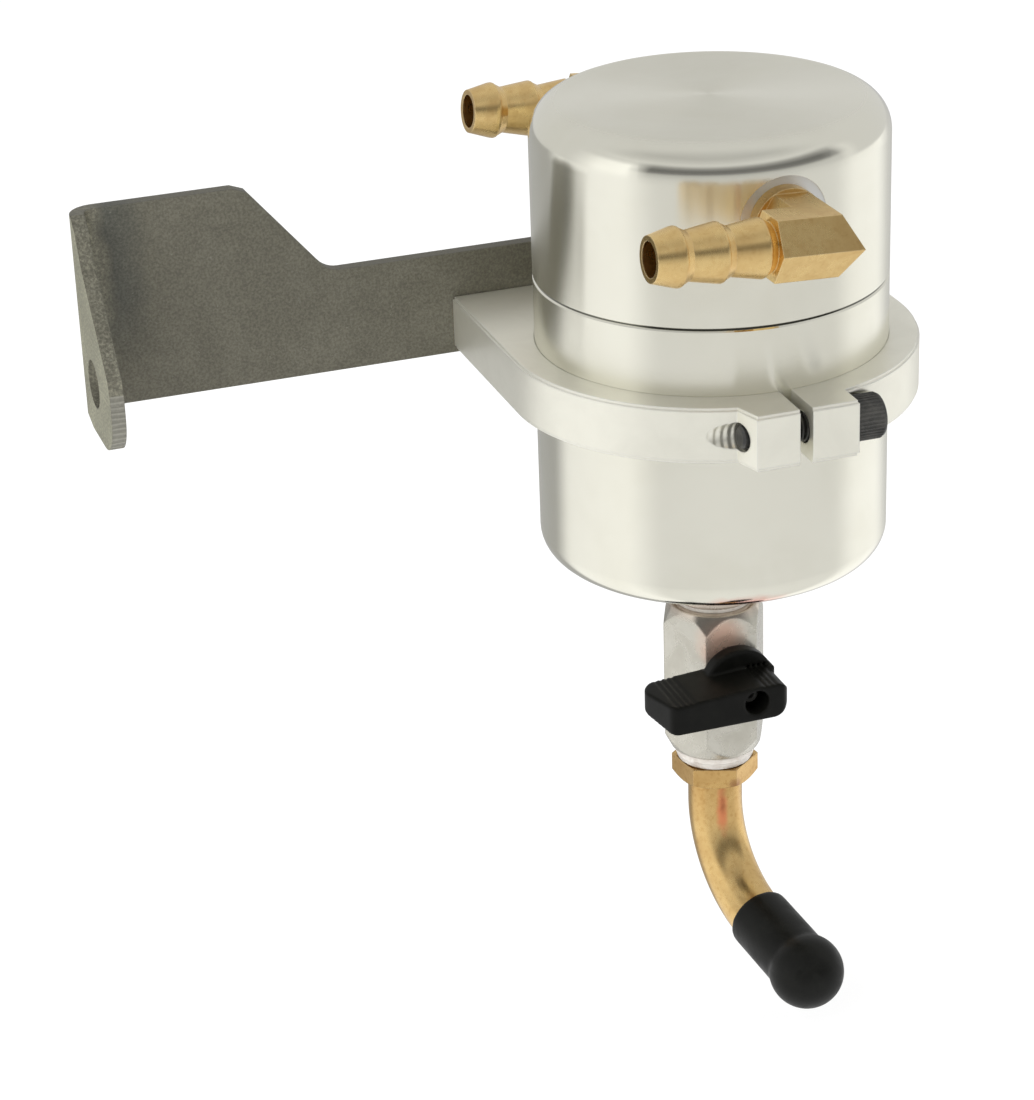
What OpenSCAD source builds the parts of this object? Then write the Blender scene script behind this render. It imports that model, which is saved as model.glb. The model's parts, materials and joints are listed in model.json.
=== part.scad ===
// Oil catch can on a folded steel bracket, with two hose elbows and a drain valve.
// Millimetres, +Z up. The origin is the centre of the bracket's bolt hole, on the outer
// face of the folded tab. The bracket's arm runs along +X to the can, which hangs in a
// split clamp. The can's axis is vertical.

/* [Can] */
// Outer diameter of the can
can_d = 79.4; // [70:0.1:90]
// Height of the screwed cap
cap_h = 40; // [36:0.5:60]
// Height of the body below the seam
body_h = 66.7; // [55:0.5:100]
// Round on the top edge of the cap
cap_round = 8; // [3:0.5:9]
// Round on the bottom edge of the body
base_round = 6; // [2:0.5:8]
// Wall of the cap's side
cap_wall = 7; // [6:0.5:9]
// Thickness of the cap's top
cap_roof = 6; // [4:0.5:8]
// Wall of the body's spigot, inside the cap
spigot_wall = 3; // [2.5:0.5:4]
// Length of the spigot
spigot_h = 12; // [10:0.5:14]
// Step that the lower screen rests on
screen_step = 1.2; // [0.8:0.2:2]
// Thickness of the body's floor
floor_t = 8; // [6:0.5:12]
// Height of the seam above the clamp
seam_above_clamp = 15; // [13:0.5:30]
// Chamfer on both edges of the seam
seam_chamfer = 0.5; // [0.2:0.1:1]

/* [Separator] */
// Thickness of each perforated screen
screen_t = 1.5; // [1:0.1:2]
// Diameter of the screen's holes
screen_hole_d = 4; // [3:0.5:5]
// Distance between the screen's holes
screen_pitch = 7; // [6:0.5:9]
// Thickness of the wool between the screens
wool_h = 14; // [8:0.5:15]
// Thickness of the retaining clip
clip_t = 1.2; // [1:0.1:1.5]
// Radial width of the retaining clip
clip_w = 3.2; // [2.5:0.1:4]

/* [Clamp] */
// Thickness of the clamp
clamp_t = 12.7; // [12:0.1:20]
// Radial width of the clamp's round side
clamp_rim = 6.8; // [5:0.1:10]
// Distance from the can's axis to the clamp's flat back
clamp_back = 44.7; // [43:0.1:55]
// Width of the split between the ears
split_w = 3; // [1.5:0.1:5]
// Sideways place of the split
split_x = 0.9; // [0:0.1:2]
// Width of the left ear, from the middle of the split
ear_left = 11.4; // [10:0.1:14]
// Width of the right ear, from the middle of the split
ear_right = 12.2; // [10:0.1:14]
// Distance from the can's axis to the front of the ears
ear_front = 51.4; // [50:0.1:58]
// Depth of the left ear's slanted outer face
ear_depth = 7.1; // [4:0.1:9]
// Sideways taper of the left ear's outer face
ear_taper = 2; // [0:0.1:3]
// Nominal diameter of the clamp screw
clamp_screw_d = 6.4; // [5:0.1:8]
// Chamfer on the clamp's edges
clamp_chamfer = 0.7; // [0.2:0.1:1]

/* [Bracket] */
// Length of the bracket screws under the head
bracket_screw_l = 15; // [10:0.5:16]
// Thickness of the bracket's sheet
sheet_t = 3.2; // [2:0.1:5]
// Distance from the tab's outer face to the can's axis
arm_reach = 134.5; // [115:0.5:180]
// Height of the arm
arm_h = 24.4; // [20:0.5:36]
// How far the arm reaches below the top of the clamp
arm_drop = 13.8; // [12.7:0.1:16]
// Height of the wide end at the fold
wing_h = 47; // [36:0.5:70]
// Distance from the fold's outer face to the slope, at the top
wing_top = 37.6; // [25:0.5:45]
// Distance from the fold's outer face to the foot of the slope
wing_foot = 58.7; // [50:0.5:70]
// Radius where the slope meets the arm
foot_r = 6; // [3:0.5:10]
// Inner radius of the fold
fold_r = 3; // [2:0.5:5]
// Diameter of the mounting bolt's hole
bolt_hole_d = 11; // [8:0.1:13]
// Distance from the bolt hole to the back of the bracket
bolt_to_back = 16.5; // [14:0.5:22]
// Height of the bolt hole above the bottom of the arm
bolt_up = 11.1; // [9:0.1:14]
// Distance from the bolt hole to the tab's free edge
tab_reach = 17; // [12:0.5:20]
// Distance of each bracket screw from the can's axis
bracket_screw_x = 30; // [26:0.5:36]
// Nominal diameter of the bracket screws
bracket_screw_d = 6; // [4:0.5:6]

/* [Hose elbows] */
// Height of the elbows above the seam
elbow_up = 23; // [20:0.5:28]
// Turn of the elbows' common axis away from the front
elbow_turn = 1.5; // [-10:0.1:10]
// Distance from the can's axis to the barb's axis
elbow_reach = 54; // [52:0.5:64]
// Width across the flats of the elbow's hexagon
elbow_hex = 13.4; // [12:0.1:16]
// Length of the barb from the elbow's corner
barb_l = 37; // [34:0.5:50]
// Upward turn of the front barb
front_clock = 3; // [0:0.5:20]
// Upward turn of the rear barb
rear_clock = 5; // [0:0.5:20]
// Length of the hexagon on the barb's side, from the elbow's corner
elbow_arm = 10.6; // [9:0.1:12]
// Diameter over the barb's ridges
barb_d = 12.8; // [11.5:0.1:13.5]
// Diameter between the barb's ridges
barb_root_d = 10.5; // [9:0.1:10.5]
// Length of each ridge's steep back
ridge_back = 2.2; // [1:0.1:3]
// Distance from the last ridge to the tip
ridge_lead = 5.7; // [4:0.1:7]
// Diameter of the elbow's bore
elbow_bore_d = 7.6; // [5:0.1:8]
// Diameter of the elbow's thread
elbow_thread_d = 13.6; // [10:0.1:14]
// Diameter of the flat milled round each elbow's hole
spot_d = 20; // [18:0.5:22]

/* [Drain valve] */
// Width across the flats of the valve's hexagon
valve_hex = 21.8; // [20:0.1:26]
// Length of the valve's upper piece
valve_body_l = 24; // [23:0.5:30]
// Length of the valve's end piece outside the upper piece
valve_end_l = 13.5; // [10:0.5:20]
// Distance from the top of the valve to the stem
stem_down = 15.2; // [15:0.1:17]
// Gap between the can and the top of the valve
valve_drop = 14.7; // [8:0.1:20]
// Diameter of the pipe threads at the valve
pipe_d = 17.1; // [13:0.1:17.5]
// Bore of the pipe fittings and of the ball
flow_d = 8.4; // [6:0.1:9]
// Diameter of the ball
ball_d = 15; // [13:0.1:15.5]
// Diameter of the stem
stem_d = 5.6; // [4:0.1:6]
// Diameter of the round neck over the valve
neck_d = 19.6; // [18:0.1:21]

/* [Lever] */
// Length of the lever from the stem's axis to its tip
lever_l = 23.3; // [18:0.1:35]
// Distance from the valve's axis to the lever's front
lever_front = 26.5; // [22:0.5:32]
// Depth of the lever's bar, from back to front
lever_depth = 15; // [8:0.5:15]
// Height of the bar's top face above the stem's axis
lever_up = 3.8; // [3:0.1:6]
// Drop of the top face towards the tip
lever_slope = 1.4; // [0:0.1:2]
// Depth of the bar's bottom face below the stem's axis
lever_low = 4.6; // [4:0.1:6]
// Rise of the bottom face from the lever's front to its back
lever_rise = 2.2; // [0:0.1:3]
// Length of the lever on the other side of the stem
lever_heel = 8; // [6:0.5:12]
// Diameter of the lever's round hub
hub_d = 17; // [12:0.1:18]
// Length of the lever's round hub
hub_l = 3.6; // [2:0.1:8]
// Diameter of the recess over the lever's screw
screw_well_d = 5.8; // [5:0.1:7]

/* [Drain tube] */
// Outer diameter of the tube
tube_d = 12.9; // [10:0.1:13]
// Wall of the tube
tube_wall = 1; // [0.8:0.1:1.5]
// Straight length below the fitting
tube_drop = 6.6; // [6:0.1:30]
// Radius of the tube's bend
tube_bend_r = 24; // [16:0.5:40]
// Angle of the tube's bend
tube_bend = 80; // [30:1:85]
// Direction that the tube turns to, from the +X axis
tube_turn = -81; // [-120:1:-20]
// Length of tube inside the rubber cap
tube_cover = 15; // [10:0.5:20]
// Width across the flats of the fitting's hexagon
fitting_hex = 17.7; // [17:0.1:22]
// Height of the fitting's hexagon
fitting_h = 5.2; // [4:0.1:8]
// Turn of the fitting's hexagon
fitting_clock = -22; // [-30:1:30]
// Length of taped thread left showing
tape_h = 3.7; // [2:0.1:6]

/* [Rubber cap] */
// Outer diameter at the mouth
plug_mouth_d = 15.3; // [14.5:0.1:17]
// Outer diameter at the round end
plug_end_d = 17.6; // [16:0.1:20]
// Overall length
plug_l = 30.4; // [25:0.1:36]

/* [Fits] */
// Radial clearance of parts that slide or turn in each other
run_gap = 0.05; // [0.02:0.01:0.1]
// Radial clearance of screwed and pressed parts
seat_gap = 0.04; // [0.02:0.01:0.1]
// Clearance between the ball and its seats
ball_gap = 0.12; // [0.08:0.01:0.2]

/* [Hidden] */
$fn = 96;
eps = 0.01;

can_r = can_d / 2;
seam_z = seam_above_clamp;
cap_top_z = seam_z + cap_h;
can_bottom_z = seam_z - body_h;
floor_z = can_bottom_z + floor_t;
cap_bore_r = can_r - cap_wall;
spigot_r = can_r - 3.5;
spigot_bore_r = spigot_r - spigot_wall;
body_bore_r = spigot_bore_r - screen_step;
spigot_top_z = seam_z + spigot_h;
ring_d = 1.8;
ring_groove_d = ring_d + 0.04;
ring_z = seam_z + 3;

clip_z = spigot_top_z - 4;
upper_screen_z = clip_z - screen_t;
wool_z = upper_screen_z - wool_h;
lower_screen_z = wool_z - screen_t;
screen_r = spigot_bore_r - 0.2;

clamp_r = can_r + clamp_rim;
clamp_mid_z = -clamp_t / 2;
clamp_bore_r = can_r + seat_gap;
clamp_screw_y = -(can_r + clamp_screw_d / 2 + 3);
screw_head_d = clamp_screw_d * 1.6;
screw_head_l = clamp_screw_d * 1.1;
head_seat_x = split_x + ear_right;

fold_outer_r = fold_r + sheet_t;
tab_x = -arm_reach;
arm_bottom_z = -arm_drop;
arm_top_z = arm_bottom_z + arm_h;
wing_top_z = arm_bottom_z + wing_h;
plate_front_y = clamp_back + seat_gap;
plate_back_y = plate_front_y + sheet_t;
arm_end_x = clamp_r;
washer_t = 1.2;
bolt_y = plate_back_y - bolt_to_back;
bolt_z = arm_bottom_z + bolt_up;

elbow_z = seam_z + elbow_up;
spot_y = sqrt(can_r * can_r - spot_d * spot_d / 4);
elbow_hex_r = elbow_hex / 2 / cos(30);

valve_top_z = can_bottom_z - valve_drop;
stem_z = valve_top_z - stem_down;
valve_split_z = valve_top_z - valve_body_l;
valve_bottom_z = valve_split_z - valve_end_l;
valve_face = valve_hex / 2;
pipe_r = pipe_d / 2;
flow_r = flow_d / 2;
ball_r = ball_d / 2;
chamber_r = ball_r + 0.6;
seat_t = 2.4;
seat_out = 6.2;
thread_in = 6.4;
stem_r = stem_d / 2;
tang_t = 2;
tang_in = ball_r - 2.2;
stem_boss_d = stem_d + 5;
stem_boss_out = 1.2;
hub_back = valve_face + stem_boss_out + 0.4;
well_floor = lever_front - 6.5;
lever_back = lever_front - lever_depth;

fitting_top_z = valve_bottom_z - tape_h;
fitting_bottom_z = fitting_top_z - fitting_h;
tube_r = tube_d / 2;
tube_bore_r = tube_r - tube_wall;
bend_start_z = fitting_bottom_z - tube_drop;
plug_mouth_r = plug_mouth_d / 2;
plug_end_r = plug_end_d / 2;
plug_bore_l = tube_cover + 0.5;
plug_end_z = plug_l - plug_end_r;

// Frames of reference

// Puts a part that is built round the can's axis, with Z = 0 at the clamp's top, in place
module at_can() {
    translate([arm_reach, -bolt_y, -bolt_z]) children();
}

// Carries a part from a Z axis to the valve's stem, which points to the front
module at_stem() {
    translate([0, 0, stem_z]) rotate([90, 0, 0]) children();
}

// Carries a part to one elbow's axis: side is 1 for the front and -1 for the rear.
// There Z points out of the can, X lies along the barb and Y is up for the front elbow.
module at_elbow(side, clock) {
    rotate([0, 0, elbow_turn])
        translate([0, 0, elbow_z])
            rotate([90, 0, side > 0 ? 0 : 180])
                rotate([0, 0, side > 0 ? 180 - clock : clock])
                    children();
}

// Carries a part to the end of the drain tube's bend, with Z along the tube
module at_tube_end() {
    rotate([0, 0, tube_turn])
        translate([tube_bend_r, 0, bend_start_z])
            rotate([0, -tube_bend, 0])
                translate([-tube_bend_r, 0, 0])
                    mirror([0, 0, 1])
                        children();
}

// Shapes that repeat

module ring(r_out, r_in, h) {
    difference() {
        cylinder(r = r_out, h = h);
        translate([0, 0, -eps]) cylinder(r = r_in, h = h + 2 * eps);
    }
}

module torus(r_mid, r_tube) {
    rotate_extrude() translate([r_mid, 0]) circle(r = r_tube, $fn = 32);
}

// Hexagonal bar whose ends are turned to a circle
module turned_hex(flats, h, low_cut, high_cut) {
    corner_r = flats / 2 / cos(30);
    end_r = flats / 2 - 0.4;
    intersection() {
        cylinder(r = corner_r, h = h, $fn = 6);
        rotate_extrude()
            polygon([[0, 0], [low_cut > 0 ? end_r : corner_r + 1, 0], [corner_r + eps, low_cut],
                [corner_r + eps, h - high_cut], [high_cut > 0 ? end_r : corner_r + 1, h], [0, h]]);
    }
}

// Socket-head cap screw along Z, with its head above Z = 0
module cap_screw(d, shank_l, head_d, head_l, socket_d) {
    difference() {
        union() {
            rotate_extrude()
                polygon([[0, 0], [head_d / 2, 0], [head_d / 2, head_l - 0.5],
                    [head_d / 2 - 0.5, head_l], [0, head_l]]);
            translate([0, 0, -shank_l]) cylinder(d = d, h = shank_l + eps);
        }
        translate([0, 0, head_l * 0.45]) cylinder(d = socket_d, h = head_l, $fn = 6);
    }
}

// Can

module can_cap() {
    color("silver") at_can() difference() {
        rotate_extrude() difference() {
            union() {
                translate([0, seam_z]) square([can_r, cap_h - cap_round]);
                translate([0, cap_top_z - cap_round - eps]) square([can_r - cap_round, cap_round + eps]);
                intersection() {
                    translate([can_r - cap_round, cap_top_z - cap_round]) circle(r = cap_round);
                    translate([0, cap_top_z - cap_round]) square([can_r, cap_round]);
                }
            }
            translate([can_r, seam_z]) rotate(45) square(seam_chamfer * sqrt(2), center = true);
        }
        translate([0, 0, seam_z - eps]) cylinder(r = cap_bore_r, h = cap_h - cap_roof);
        translate([0, 0, seam_z - eps]) cylinder(r = spigot_r + run_gap, h = spigot_h + 0.5);
        for (side = [1, -1]) rotate([0, 0, elbow_turn]) {
            translate([0, 0, elbow_z]) rotate([90 * side, 0, 0]) {
                cylinder(d = elbow_thread_d + 2 * seat_gap, h = can_r);
                translate([0, 0, spot_y]) cylinder(d = spot_d, h = can_r);
            }
        }
    }
}

module can_body() {
    color("gainsboro") at_can() difference() {
        rotate_extrude() difference() {
            union() {
                translate([0, can_bottom_z + base_round]) square([can_r, body_h - base_round]);
                translate([0, can_bottom_z]) square([can_r - base_round, base_round + eps]);
                intersection() {
                    translate([can_r - base_round, can_bottom_z + base_round]) circle(r = base_round);
                    translate([0, can_bottom_z]) square([can_r, base_round]);
                }
                translate([0, seam_z - eps]) square([spigot_r, spigot_h + eps]);
            }
            translate([can_r, seam_z]) rotate(45) square(seam_chamfer * sqrt(2), center = true);
            translate([spigot_r - ring_groove_d, ring_z - ring_d / 2 - 0.2])
                square([ring_groove_d + 1, ring_d + 0.4]);
            translate([-eps, floor_z]) square([body_bore_r + eps, lower_screen_z - floor_z]);
            translate([-eps, lower_screen_z]) square([spigot_bore_r + eps, body_h]);
            translate([0, clip_z]) square([spigot_bore_r + 1.2, clip_t + 0.05]);
            translate([-eps, can_bottom_z - 1]) square([pipe_r + seat_gap + eps, floor_t + 2]);
        }
    }
}

module cap_o_ring() {
    color("#202020") at_can()
        translate([0, 0, ring_z]) torus(spigot_r - ring_d / 2 + 0.02, ring_d / 2);
}

// Perforated screen, with its holes on a triangular grid
module screen(z) {
    rows = floor(screen_r / screen_pitch);
    row_step = screen_pitch * sin(60);
    translate([0, 0, z]) linear_extrude(screen_t) difference() {
        circle(r = screen_r);
        for (j = [-rows : rows], i = [-rows : rows]) {
            p = [(i + (j % 2 == 0 ? 0 : 0.5)) * screen_pitch, j * row_step];
            if (norm(p) < screen_r - screen_hole_d) translate(p) circle(d = screen_hole_d, $fn = 24);
        }
    }
}

module lower_screen() {
    color("lightgray") at_can() screen(lower_screen_z);
}

module upper_screen() {
    color("lightgray") at_can() screen(upper_screen_z);
}

module wool_pack() {
    color("gray") at_can() translate([0, 0, wool_z]) cylinder(r = screen_r, h = wool_h);
}

// Internal retaining ring, open at the front between its two eyes
module screen_clip() {
    clip_r = spigot_bore_r + 1;
    gap_angle = 26;
    color("dimgray") at_can() translate([0, 0, clip_z]) difference() {
        union() {
            rotate([0, 0, -90 + gap_angle / 2])
                rotate_extrude(angle = 360 - gap_angle)
                    translate([clip_r - clip_w, 0]) square([clip_w, clip_t]);
            for (side = [-1, 1])
                rotate([0, 0, -90 + side * (gap_angle / 2 + 3)])
                    translate([clip_r - clip_w - 0.8, 0, 0]) cylinder(r = 2.6, h = clip_t);
        }
        for (side = [-1, 1])
            rotate([0, 0, -90 + side * (gap_angle / 2 + 3)])
                translate([clip_r - clip_w - 0.8, 0, -1]) cylinder(r = 1, h = clip_t + 2);
    }
}

// Clamp

module clamp_outline(inset) {
    difference() {
        union() {
            circle(r = clamp_r - inset);
            translate([-clamp_r + inset, 0]) square([2 * (clamp_r - inset), clamp_back - inset]);
            polygon([
                [split_x - ear_left - ear_taper + inset, 0],
                [split_x - ear_left - ear_taper + inset, -ear_front + ear_depth],
                [split_x - ear_left + inset, -ear_front + inset],
                [split_x + ear_right - inset, -ear_front + inset],
                [split_x + ear_right - inset, 0]]);
        }
        circle(r = clamp_bore_r);
        translate([-2 * clamp_r, clamp_back - inset]) square(4 * clamp_r);
        translate([split_x - split_w / 2, -clamp_r * 2]) square([split_w, clamp_r * 2]);
    }
}

module clamp() {
    color("lightgray") at_can() difference() {
        union() {
            translate([0, 0, -clamp_t + clamp_chamfer])
                linear_extrude(clamp_t - 2 * clamp_chamfer) clamp_outline(0);
            for (z = [-clamp_t, -clamp_chamfer])
                translate([0, 0, z]) linear_extrude(clamp_chamfer) clamp_outline(clamp_chamfer / 2);
        }
        translate([split_x, clamp_screw_y, clamp_mid_z]) rotate([0, -90, 0])
            cylinder(d = clamp_screw_d + 2 * seat_gap, h = clamp_r);
        translate([split_x, clamp_screw_y, clamp_mid_z]) rotate([0, 90, 0]) {
            cylinder(d = clamp_screw_d + 0.6, h = clamp_r);
            translate([0, 0, ear_right]) cylinder(d = screw_head_d + 1, h = clamp_r);
        }
        for (side = [-1, 1])
            translate([side * bracket_screw_x, clamp_back + eps, clamp_mid_z]) rotate([90, 0, 0])
                cylinder(d = bracket_screw_d + 2 * seat_gap, h = bracket_screw_l - sheet_t + 1.7);
    }
}

module clamp_screw() {
    shank_l = ear_left + ear_right + 1.8;
    color("#2a2a2a") at_can() translate([head_seat_x, clamp_screw_y, clamp_mid_z])
        rotate([0, 90, 0])
            cap_screw(clamp_screw_d, shank_l, screw_head_d, screw_head_l, clamp_screw_d * 0.8);
}

// Bracket

// Outline of the arm and its wide end, in X and Z
module arm_outline() {
    left_x = tab_x + fold_outer_r;
    slope_x = tab_x + wing_top;
    foot_x = tab_x + wing_foot;
    corner_x = slope_x + 3.2;
    corner_z = wing_top_z - 1.2;
    slope = atan2(corner_z - arm_top_z, foot_x - corner_x);
    foot_reach = foot_r * tan(slope / 2);
    polygon([[left_x, arm_bottom_z], [arm_end_x, arm_bottom_z], [arm_end_x, arm_top_z],
        [foot_x, arm_top_z], [corner_x, corner_z], [slope_x, wing_top_z], [left_x, wing_top_z]]);
    difference() {
        polygon([[foot_x - 1, arm_top_z - 1], [foot_x + foot_reach, arm_top_z - 1],
            [foot_x + foot_reach, arm_top_z],
            [foot_x - foot_reach * cos(slope), arm_top_z + foot_reach * sin(slope)]]);
        translate([foot_x + foot_reach, arm_top_z + foot_r]) circle(r = foot_r);
    }
}

// Outline of the folded tab, in Y and Z, round the bolt hole
module tab_outline() {
    corner_r = 10;
    free_y = bolt_y - tab_reach;
    low_z = arm_bottom_z - 1.4;
    edge_y = plate_back_y - fold_outer_r;
    difference() {
        union() {
            polygon([[edge_y, arm_bottom_z], [edge_y, wing_top_z], [edge_y - 1.4, wing_top_z - 0.6],
                [edge_y - 4, wing_top_z - 3], [edge_y - 8, wing_top_z - 10],
                [free_y + 0.9, low_z + 18.8], [free_y, low_z + 14.5], [free_y, low_z + corner_r],
                [free_y + corner_r, low_z], [edge_y - 5, low_z]]);
            translate([free_y + corner_r, low_z + corner_r]) circle(r = corner_r);
        }
        translate([bolt_y, bolt_z]) circle(d = bolt_hole_d);
    }
}

module bracket() {
    color("dimgray") at_can() difference() {
        union() {
            translate([0, plate_back_y, 0]) rotate([90, 0, 0]) linear_extrude(sheet_t) arm_outline();
            translate([tab_x, 0, 0]) rotate([90, 0, 90]) linear_extrude(sheet_t) tab_outline();
            translate([tab_x + fold_outer_r, plate_back_y - fold_outer_r, arm_bottom_z])
                rotate([0, 0, 90])
                    rotate_extrude(angle = 90) translate([fold_r, 0]) square([sheet_t, wing_h]);
        }
        for (side = [-1, 1])
            translate([side * bracket_screw_x, plate_back_y + 1, clamp_mid_z]) rotate([90, 0, 0])
                cylinder(d = bracket_screw_d + 0.6, h = sheet_t + 2);
    }
}

module bracket_screws() {
    color("#303030") at_can() for (side = [-1, 1])
        translate([side * bracket_screw_x, plate_back_y + washer_t, clamp_mid_z]) rotate([-90, 0, 0])
            cap_screw(bracket_screw_d, bracket_screw_l, bracket_screw_d * 1.6, bracket_screw_d * 0.6,
                bracket_screw_d * 0.7);
}

module bracket_washers() {
    color("silver") at_can() for (side = [-1, 1])
        translate([side * bracket_screw_x, plate_back_y, clamp_mid_z]) rotate([-90, 0, 0])
            ring(bracket_screw_d, bracket_screw_d / 2 + 0.2, washer_t);
}

// Hose elbows

// Outer profile of the barb, from the elbow's corner to its tip, with three ridges
module barb_profile() {
    ridge_r = barb_d / 2;
    root_r = barb_root_d / 2;
    pitch = (barb_l - elbow_arm - ridge_back - ridge_lead) / 2;
    polygon([[0, 0], [root_r, 0],
        for (i = [0 : 2]) each [
            [root_r, elbow_arm + i * pitch],
            [ridge_r - 0.35, elbow_arm + ridge_back - 0.6 + i * pitch],
            [ridge_r - 0.1, elbow_arm + ridge_back - 0.3 + i * pitch],
            [ridge_r, elbow_arm + ridge_back + 0.1 + i * pitch],
            [ridge_r - 0.1, elbow_arm + ridge_back + 0.8 + i * pitch]],
        [root_r - 0.3, barb_l], [0, barb_l]]);
}

// Half of the mitred hexagonal bar: side is -1 for the arm in the can, 1 for the barb's arm
module elbow_arm_bar(side) {
    reach = side > 0 ? elbow_arm : elbow_reach - spot_y - 3;
    intersection() {
        translate([0, 0, elbow_reach]) rotate([0, side > 0 ? 90 : 180, 0])
            translate([0, 0, -2 * elbow_hex_r]) cylinder(r = elbow_hex_r, h = reach + 2 * elbow_hex_r, $fn = 6);
        translate([0, 0, elbow_reach]) rotate([0, 45, 0])
            translate([-60, -20, side > 0 ? 0 : -60]) cube([120, 40, 60]);
    }
}

// Elbow with Z out of the can and X along the barb
module elbow() {
    collar_r = elbow_hex / 2 + 1.1;
    color("#c8a050") difference() {
        union() {
            translate([0, 0, cap_bore_r]) cylinder(d = elbow_thread_d, h = spot_y - cap_bore_r + eps);
            translate([0, 0, spot_y]) cylinder(r = collar_r, h = 3.2);
            elbow_arm_bar(-1);
            elbow_arm_bar(1);
            translate([0, 0, elbow_reach]) rotate([0, 90, 0]) rotate_extrude() barb_profile();
        }
        translate([0, 0, cap_bore_r - 1]) cylinder(d = elbow_bore_d, h = elbow_reach - cap_bore_r + 1);
        translate([0, 0, elbow_reach]) sphere(d = elbow_bore_d);
        translate([0, 0, elbow_reach]) rotate([0, 90, 0]) cylinder(d = elbow_bore_d, h = barb_l + 1);
    }
}

module front_elbow() {
    at_can() at_elbow(1, front_clock) elbow();
}

module rear_elbow() {
    at_can() at_elbow(-1, rear_clock) elbow();
}

// Drain valve

module drain_nipple() {
    color("whitesmoke") at_can() difference() {
        union() {
            translate([0, 0, floor_z]) mirror([0, 0, 1]) cylinder(r = pipe_r, h = floor_t + eps);
            translate([0, 0, can_bottom_z]) mirror([0, 0, 1]) rotate_extrude()
                polygon([[0, 0], [neck_d / 2, 0], [neck_d / 2, valve_drop - 1.6],
                    [neck_d / 2 - 0.6, valve_drop - 1], [0, valve_drop - 1]]);
            translate([0, 0, can_bottom_z - valve_drop + 1 + eps]) mirror([0, 0, 1])
                cylinder(r = pipe_r, h = 1 + thread_in);
        }
        translate([0, 0, floor_z + 1]) mirror([0, 0, 1])
            cylinder(r = flow_r + 0.6, h = floor_t + valve_drop + thread_in + 2);
    }
}

module nipple_tape() {
    color("white") at_can() translate([0, 0, valve_top_z + seat_gap]) ring(pipe_r + 0.35, pipe_r + seat_gap, 1 - 2 * seat_gap);
}

module valve_body() {
    boss_r = stem_boss_d / 2;
    color("lightgray") at_can() difference() {
        union() {
            translate([0, 0, valve_split_z]) turned_hex(valve_hex, valve_body_l, 0, 4.6);
            at_stem() cylinder(r = boss_r, h = valve_face + stem_boss_out);
        }
        translate([0, 0, valve_top_z - thread_in]) cylinder(r = pipe_r + seat_gap, h = thread_in + 1);
        translate([0, 0, stem_z]) cylinder(r = flow_r, h = stem_down);
        translate([0, 0, valve_split_z - 1])
            cylinder(r = chamber_r, h = stem_z + seat_out + seat_gap - valve_split_z + 1);
        at_stem() cylinder(r = stem_r + run_gap, h = 30);
    }
}

module valve_end() {
    spigot_top = stem_z - seat_out - seat_gap;
    color("lightgray") at_can() difference() {
        union() {
            translate([0, 0, valve_bottom_z]) turned_hex(valve_hex, valve_end_l, 4.2, 0);
            translate([0, 0, valve_split_z - eps])
                cylinder(r = chamber_r - seat_gap, h = spigot_top - valve_split_z + eps);
        }
        translate([0, 0, valve_bottom_z - 1]) cylinder(r = pipe_r + seat_gap, h = thread_in + 1);
        translate([0, 0, valve_bottom_z]) cylinder(r = flow_r, h = 40);
    }
}

module valve_ball() {
    slot_t = tang_t + 2 * seat_gap;
    color("silver") at_can() translate([0, 0, stem_z]) difference() {
        rotate([0, 90, 0]) rotate_extrude() difference() {
            intersection() {
                circle(r = ball_r);
                translate([0, -ball_r]) square([ball_r, ball_d]);
            }
            translate([-1, -ball_r - 1]) square([flow_r + 1, ball_d + 2]);
        }
        translate([-slot_t / 2, -ball_r - 1, -ball_r]) cube([slot_t, ball_r + 1 - tang_in + seat_gap, ball_d]);
    }
}

module valve_seats() {
    color("white") at_can() for (side = [-1, 1])
        translate([0, 0, stem_z]) difference() {
            translate([0, 0, side > 0 ? seat_out - seat_t : -seat_out])
                ring(chamber_r - seat_gap, flow_r + 0.3, seat_t);
            sphere(r = ball_r + ball_gap);
        }
}

module valve_stem() {
    groove = 0.9;
    color("silver") at_can() at_stem() difference() {
        union() {
            translate([-tang_t / 2, -stem_r + 0.3, tang_in]) cube([tang_t, 2 * stem_r - 0.6, 2.5]);
            translate([0, 0, ball_r + ball_gap]) cylinder(r = stem_r, h = well_floor - 1.8 - ball_r - ball_gap);
        }
        for (z = [valve_face - 1.4, valve_face])
            translate([0, 0, z - 0.5]) ring(stem_r + 1, stem_r - groove, 1);
        translate([0, 0, well_floor - 7.8]) cylinder(d = 2.6, h = 10);
    }
}

module stem_seals() {
    color("#202020") at_can() at_stem()
        for (z = [valve_face - 1.4, valve_face]) translate([0, 0, z]) torus(stem_r - 0.43, 0.44);
}

// Outline of the lever seen from its top, with X along the lever and Y out of the valve
module lever_plan() {
    front_r = 2.2;
    tip_r = 4.5;
    heel_r = 3;
    hull() {
        translate([-lever_heel + heel_r, lever_back + heel_r]) circle(r = heel_r);
        translate([-lever_heel + front_r, lever_front - front_r]) circle(r = front_r);
        translate([lever_l - tip_r, lever_back + tip_r]) circle(r = tip_r);
        translate([lever_l - 2.2 - front_r, lever_front - front_r]) circle(r = front_r);
    }
}

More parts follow.
